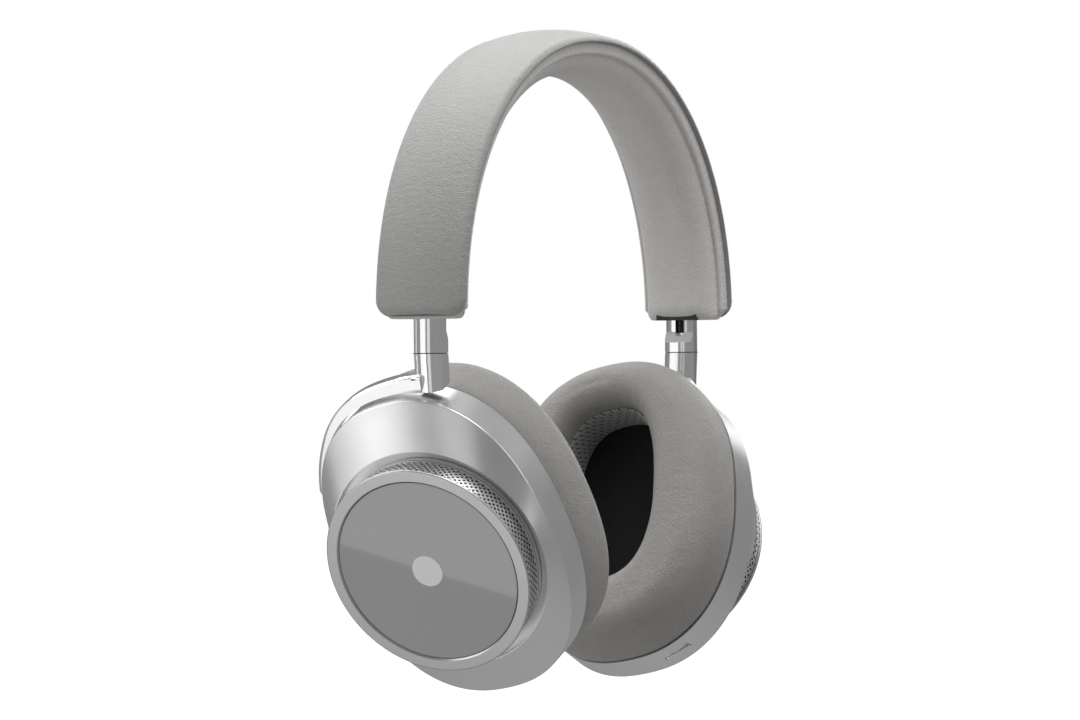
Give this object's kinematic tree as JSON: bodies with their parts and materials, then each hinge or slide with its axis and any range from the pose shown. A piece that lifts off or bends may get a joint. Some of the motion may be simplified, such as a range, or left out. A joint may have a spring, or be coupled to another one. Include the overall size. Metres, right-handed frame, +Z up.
{
  "type": "over ear headphones",
  "caption": "Wireless over ear headphones: padded leather headband, sliding polished stems on one-sided yokes, oval cups with a round glass cap and perforated ring, soft cushions.",
  "frame": {"origin": "middle of the headband pad's underside, where it rests on the head or a stand", "axes": "+Z up, -Y the wearer's front, -X the wearer's right"},
  "size_m": [0.1866, 0.0824, 0.2082],
  "materials": {
    "cover_leather": "light grey, creased grain",
    "pad_leather": "light grey, fine grain, stitched",
    "cushion_leather": "light grey, soft, finely wrinkled",
    "black_plastic": "matt",
    "spring_steel": "plain",
    "foam": "open cell foam",
    "polished_aluminium": "polished",
    "black_rubber": "matt",
    "satin_aluminium": "satin anodised",
    "bezel_aluminium": "satin anodised",
    "grille_metal": "satin, perforated",
    "cap_glass": "glossy, backed in grey",
    "badge_metal": "satin",
    "bush_brass": "plain",
    "screw_steel": "plain",
    "magnet_steel": "plain",
    "diaphragm_metal": "thin foil",
    "speaker_fabric": "fine black cloth",
    "knitted_mesh": "grey knitted mesh",
    "board_green": "coated board",
    "battery_foil": "foil wrap"
  },
  "bodies": {
    "headband": {"headband_cover": "cover_leather", "headband_stiffener": "black_plastic", "headband_spring": "spring_steel", "headband_foam": "foam", "headband_pad": "pad_leather", "slider_guide_right": "black_plastic", "slider_guide_left": "black_plastic", "detent_spring_right": "spring_steel", "detent_spring_left": "spring_steel"},
    "slider_right": {"upper_stem_right": "polished_aluminium", "stem_wire_right": "black_rubber", "swivel_pin_right": "spring_steel"},
    "yoke_right": {"yoke_right": "polished_aluminium", "tilt_pin_right": "spring_steel"},
    "ear_cup_right": {"cup_shell_right": "satin_aluminium", "tilt_bush_right": "bush_brass", "perforated_ring_right": "grille_metal", "cap_bezel_right": "bezel_aluminium", "cap_disc_right": "cap_glass", "cap_badge_right": "badge_metal", "cap_tray_right": "black_plastic", "baffle_plate_right": "black_plastic", "baffle_screws_right": "screw_steel", "driver_frame_right": "black_plastic", "driver_magnet_right": "magnet_steel", "driver_diaphragm_right": "diaphragm_metal", "cushion_ring_right": "black_plastic", "speaker_cover_right": "speaker_fabric", "ear_cushion_right": "cushion_leather", "cushion_lining_right": "knitted_mesh", "circuit_board": "board_green", "charging_socket": "screw_steel"},
    "slider_left": {"upper_stem_left": "polished_aluminium", "stem_wire_left": "black_rubber", "swivel_pin_left": "spring_steel"},
    "yoke_left": {"yoke_left": "polished_aluminium", "tilt_pin_left": "spring_steel"},
    "ear_cup_left": {"cup_shell_left": "satin_aluminium", "tilt_bush_left": "bush_brass", "perforated_ring_left": "grille_metal", "cap_bezel_left": "bezel_aluminium", "cap_disc_left": "cap_glass", "cap_badge_left": "badge_metal", "cap_tray_left": "black_plastic", "baffle_plate_left": "black_plastic", "baffle_screws_left": "screw_steel", "driver_frame_left": "black_plastic", "driver_magnet_left": "magnet_steel", "driver_diaphragm_left": "diaphragm_metal", "cushion_ring_left": "black_plastic", "speaker_cover_left": "speaker_fabric", "ear_cushion_left": "cushion_leather", "cushion_lining_left": "knitted_mesh", "battery_cell": "battery_foil"},
    "volume_up_button": {"volume_up_button": "satin_aluminium"},
    "play_button": {"play_button": "satin_aluminium"},
    "volume_down_button": {"volume_down_button": "satin_aluminium"},
    "noise_button": {"noise_button": "satin_aluminium"}
  },
  "joints": [
    {"name": "slide_right", "type": "slide", "parent": "headband", "child": "slider_right", "axis": [0, 0, -1], "range_m": [-0.0095, 0.014]},
    {"name": "swivel_right", "type": "hinge", "parent": "slider_right", "child": "yoke_right", "pos_m": [-0.0819, 0, -0.0882], "axis": [0, 0, 1], "range_deg": [-7, 87]},
    {"name": "tilt_right", "type": "hinge", "parent": "yoke_right", "child": "ear_cup_right", "pos_m": [-0.0698, 0.04572, -0.12815], "axis": [-0.0454, 0.999, 0], "range_deg": [-8, 20]},
    {"name": "volume_up_button_press", "type": "slide", "parent": "ear_cup_right", "child": "volume_up_button", "axis": [-0.0464, -0.9794, 0.1965], "range_m": [0, 0.0006], "stiffness_N_per_m": 600},
    {"name": "play_button_press", "type": "slide", "parent": "ear_cup_right", "child": "play_button", "axis": [-0.0824, -0.9587, 0.2723], "range_m": [0, 0.0006], "stiffness_N_per_m": 600},
    {"name": "volume_down_button_press", "type": "slide", "parent": "ear_cup_right", "child": "volume_down_button", "axis": [-0.1412, -0.908, 0.3944], "range_m": [0, 0.0006], "stiffness_N_per_m": 600},
    {"name": "slide_left", "type": "slide", "parent": "headband", "child": "slider_left", "axis": [0, 0, -1], "range_m": [-0.0095, 0.014]},
    {"name": "swivel_left", "type": "hinge", "parent": "slider_left", "child": "yoke_left", "pos_m": [0.0819, 0, -0.0882], "axis": [0, 0, -1], "range_deg": [-7, 87]},
    {"name": "tilt_left", "type": "hinge", "parent": "yoke_left", "child": "ear_cup_left", "pos_m": [0.0698, 0.04572, -0.12815], "axis": [-0.0454, -0.999, 0], "range_deg": [-8, 20]},
    {"name": "noise_button_press", "type": "slide", "parent": "ear_cup_left", "child": "noise_button", "axis": [0.3741, 0.5371, 0.756], "range_m": [0, 0.0006], "stiffness_N_per_m": 600}
  ]
}
